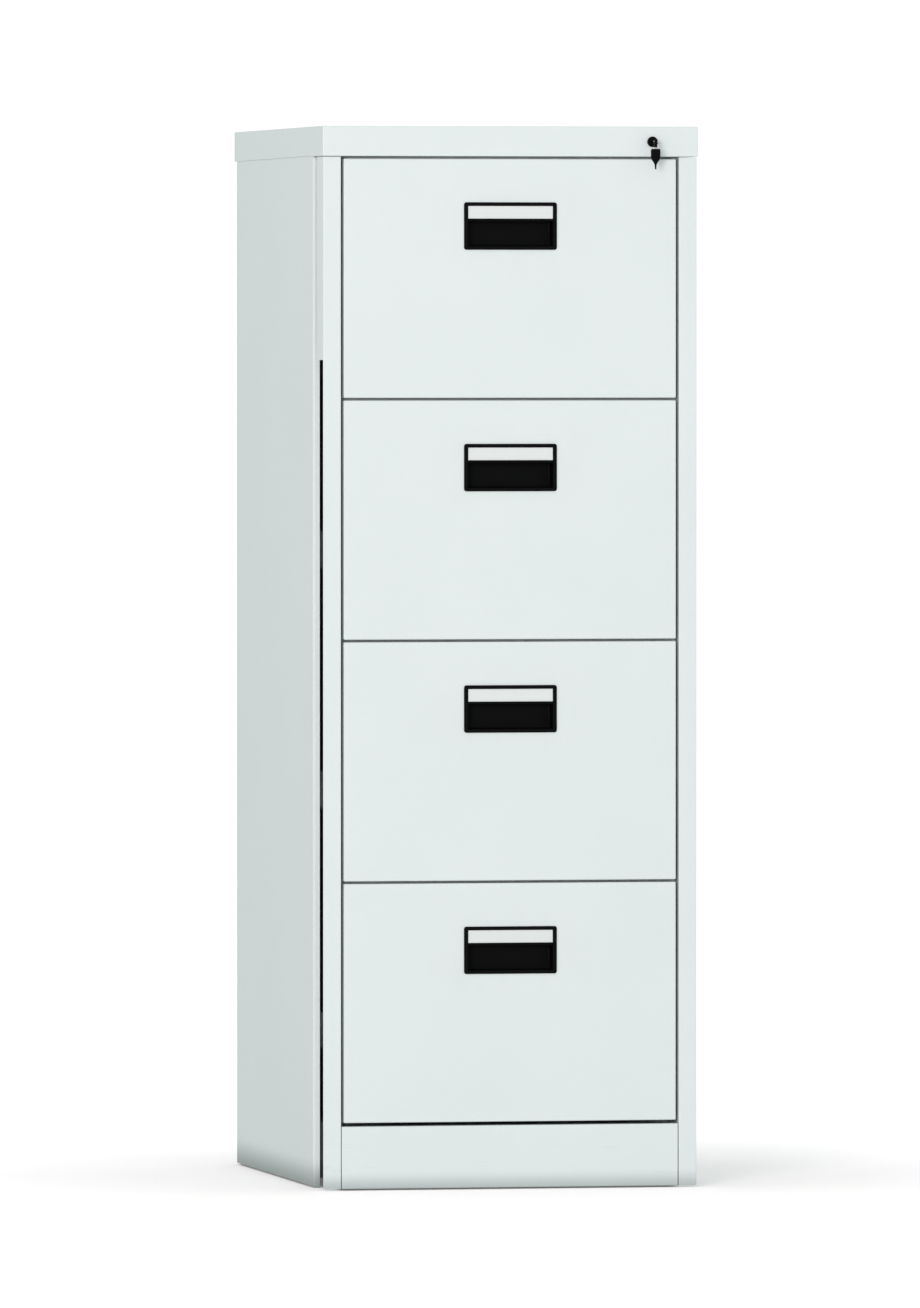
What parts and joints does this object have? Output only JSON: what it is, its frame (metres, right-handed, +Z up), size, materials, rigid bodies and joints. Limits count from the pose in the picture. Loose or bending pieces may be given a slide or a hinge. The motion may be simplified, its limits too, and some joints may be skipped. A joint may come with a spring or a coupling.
{
  "type": "four-drawer filing cabinet",
  "caption": "Tall steel filing cabinet with deep sliding drawers, recessed pulls with label windows, and one lock for all drawers.",
  "frame": {"origin": "middle of the overall box at floor level, the folded key included", "axes": "+Z up, -Y out of the drawer fronts, +X to the right of someone facing the drawers"},
  "size_m": [0.475, 0.6446, 1.321],
  "materials": {
    "painted_steel": "light grey satin powder coat",
    "zinc_steel": "bright zinc plate",
    "nickel": "nickel plate",
    "black_metal": "black satin plate",
    "black_plastic": "fine-grained moulded",
    "black_rubber": "matt",
    "white_card": "plain uncoated card"
  },
  "bodies": {
    "carcass": {"top_cover": "painted_steel", "side_panel_left": "painted_steel", "side_panel_right": "painted_steel", "back_panel": "painted_steel", "stile_left": "painted_steel", "stile_right": "painted_steel", "plinth": "painted_steel", "base_pan": "painted_steel", "top_rail": "painted_steel", "divider_rails": "painted_steel", "uprights_left": "zinc_steel", "uprights_right": "zinc_steel", "runner_channels_left": "zinc_steel", "runner_channels_right": "zinc_steel", "floor_glides": "black_plastic", "back_screws": "zinc_steel", "drawer_buffers": "black_rubber", "lock_housing": "black_metal", "lock_nut": "zinc_steel", "lock_bar_guides": "black_plastic"},
    "lock_plug": {"lock_plug": "black_metal", "lock_cam": "zinc_steel", "cam_screw": "zinc_steel"},
    "key": {"key_blade": "black_metal", "key_pin": "nickel"},
    "key_bow": {"key_bow": "black_plastic"},
    "lock_bar": {"lock_bar": "zinc_steel"},
    "drawer_1": {"drawer_front_1": "painted_steel", "front_liner_1": "painted_steel", "drawer_tray_1": "painted_steel", "file_rails_1": "zinc_steel", "handle_1": "black_plastic", "label_card_1": "white_card", "drawer_runners_1": "zinc_steel"},
    "slider_1": {"middle_runners_1": "zinc_steel"},
    "drawer_2": {"drawer_front_2": "painted_steel", "front_liner_2": "painted_steel", "drawer_tray_2": "painted_steel", "file_rails_2": "zinc_steel", "handle_2": "black_plastic", "label_card_2": "white_card", "drawer_runners_2": "zinc_steel"},
    "slider_2": {"middle_runners_2": "zinc_steel"},
    "drawer_3": {"drawer_front_3": "painted_steel", "front_liner_3": "painted_steel", "drawer_tray_3": "painted_steel", "file_rails_3": "zinc_steel", "handle_3": "black_plastic", "label_card_3": "white_card", "drawer_runners_3": "zinc_steel"},
    "slider_3": {"middle_runners_3": "zinc_steel"},
    "drawer_4": {"drawer_front_4": "painted_steel", "front_liner_4": "painted_steel", "drawer_tray_4": "painted_steel", "file_rails_4": "zinc_steel", "handle_4": "black_plastic", "label_card_4": "white_card", "drawer_runners_4": "zinc_steel"},
    "slider_4": {"middle_runners_4": "zinc_steel"}
  },
  "joints": [
    {"name": "drawer_1_slide", "type": "slide", "parent": "carcass", "child": "drawer_1", "axis": [0, -1, 0], "range_m": [0, 0.5]},
    {"name": "drawer_2_slide", "type": "slide", "parent": "carcass", "child": "drawer_2", "axis": [0, -1, 0], "range_m": [0, 0.5]},
    {"name": "drawer_3_slide", "type": "slide", "parent": "carcass", "child": "drawer_3", "axis": [0, -1, 0], "range_m": [0, 0.5]},
    {"name": "drawer_4_slide", "type": "slide", "parent": "carcass", "child": "drawer_4", "axis": [0, -1, 0], "range_m": [0, 0.5]},
    {"name": "slider_1_slide", "type": "slide", "parent": "carcass", "child": "slider_1", "axis": [0, -1, 0], "range_m": [0, 0.25]},
    {"name": "slider_2_slide", "type": "slide", "parent": "carcass", "child": "slider_2", "axis": [0, -1, 0], "range_m": [0, 0.25]},
    {"name": "slider_3_slide", "type": "slide", "parent": "carcass", "child": "slider_3", "axis": [0, -1, 0], "range_m": [0, 0.25]},
    {"name": "slider_4_slide", "type": "slide", "parent": "carcass", "child": "slider_4", "axis": [0, -1, 0], "range_m": [0, 0.25]},
    {"name": "lock_turn", "type": "hinge", "parent": "carcass", "child": "lock_plug", "pos_m": [0.1795, -0.29975, 1.302], "axis": [0, 1, 0], "range_deg": [0, 90]},
    {"name": "lock_bar_slide", "type": "slide", "parent": "carcass", "child": "lock_bar", "axis": [0, 0, 1], "range_m": [-0.01697, 0]},
    {"name": "key_pull", "type": "slide", "parent": "lock_plug", "child": "key", "axis": [0, -1, 0], "range_m": [0, 0.018]},
    {"name": "key_fold", "type": "hinge", "parent": "key", "child": "key_bow", "pos_m": [0.1795, -0.3195, 1.302], "axis": [-1, 0, 0], "range_deg": [0, 90]}
  ],
  "couplings": [
    {"joint": "slider_1_slide", "follows": "drawer_1_slide", "ratio": 0.5},
    {"joint": "slider_2_slide", "follows": "drawer_2_slide", "ratio": 0.5},
    {"joint": "slider_3_slide", "follows": "drawer_3_slide", "ratio": 0.5},
    {"joint": "slider_4_slide", "follows": "drawer_4_slide", "ratio": 0.5},
    {"joint": "lock_turn", "follows": "lock_bar_slide", "rad_per_m": -92.56}
  ]
}
